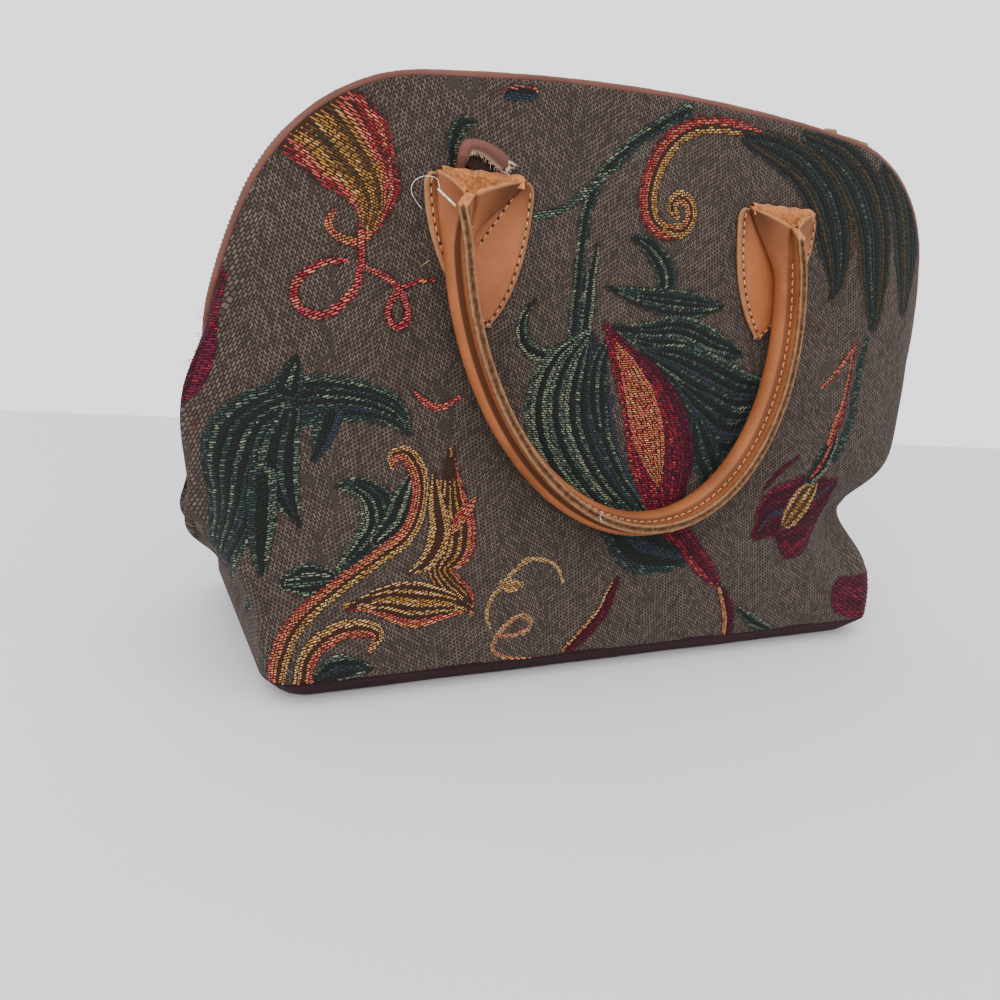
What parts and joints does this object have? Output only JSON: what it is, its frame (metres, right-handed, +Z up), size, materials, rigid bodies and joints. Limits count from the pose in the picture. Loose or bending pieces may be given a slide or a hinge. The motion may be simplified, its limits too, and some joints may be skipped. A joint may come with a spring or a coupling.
{
  "type": "tapestry handbag",
  "caption": "Domed tapestry handbag with a piped zip top, stiff boxed base and rolled leather handles on leaf-shaped patches.",
  "frame": {"origin": "middle of the base on the floor", "axes": "+Z up, +X to the bag's right, the front faces -Y"},
  "size_m": [0.34, 0.1194, 0.227],
  "materials": {
    "tapestry": "jacquard tapestry, dark taupe with floral scrolls",
    "base_cloth": "dark plum-brown woven cloth",
    "board": "plain stiff board",
    "piping_leather": "mauve-brown leather, worn",
    "zip_tape": "black woven tape",
    "zip_coil": "black nylon coil",
    "zip_metal": "dull aged brass",
    "handle_leather": "tan leather, waxed and worn, cream stitching",
    "core_cord": "rough cord filler"
  },
  "bodies": {
    "bag": {"front_panel": "tapestry", "back_panel": "tapestry", "base_panel": "base_cloth", "base_board": "board", "front_piping": "piping_leather", "back_piping": "piping_leather", "front_zip_tape": "zip_tape", "back_zip_tape": "zip_tape", "front_zip_coil": "zip_coil", "back_zip_coil": "zip_coil", "zip_stops": "zip_metal", "front_left_patch": "handle_leather", "front_right_patch": "handle_leather", "back_left_patch": "handle_leather", "back_right_patch": "handle_leather", "torn_loop": "piping_leather"},
    "front_handle": {"front_handle": "handle_leather", "front_handle_core": "core_cord"},
    "back_handle": {"back_handle": "handle_leather", "back_handle_core": "core_cord"},
    "slider": {"zip_slider": "zip_metal"},
    "pull": {"zip_pull": "zip_metal"}
  },
  "joints": [
    {"name": "front_handle_swing", "type": "hinge", "parent": "bag", "child": "front_handle", "pos_m": [0, -0.02036, 0.19107], "axis": [-1, 0, 0], "range_deg": [0, 145], "deforming": ["torn_loop"]},
    {"name": "back_handle_swing", "type": "hinge", "parent": "bag", "child": "back_handle", "pos_m": [0, 0.01928, 0.1911], "axis": [1, 0, 0], "range_deg": [0, 145]},
    {"name": "zip_run", "type": "hinge", "parent": "bag", "child": "slider", "pos_m": [0, 0, -0.573], "axis": [0, 1, 0], "range_deg": [-12.9, 0]},
    {"name": "pull_swing", "type": "hinge", "parent": "slider", "child": "pull", "pos_m": [0.08994, 0, 0.22183], "axis": [0, 1, 0], "range_deg": [-160, 0]}
  ]
}
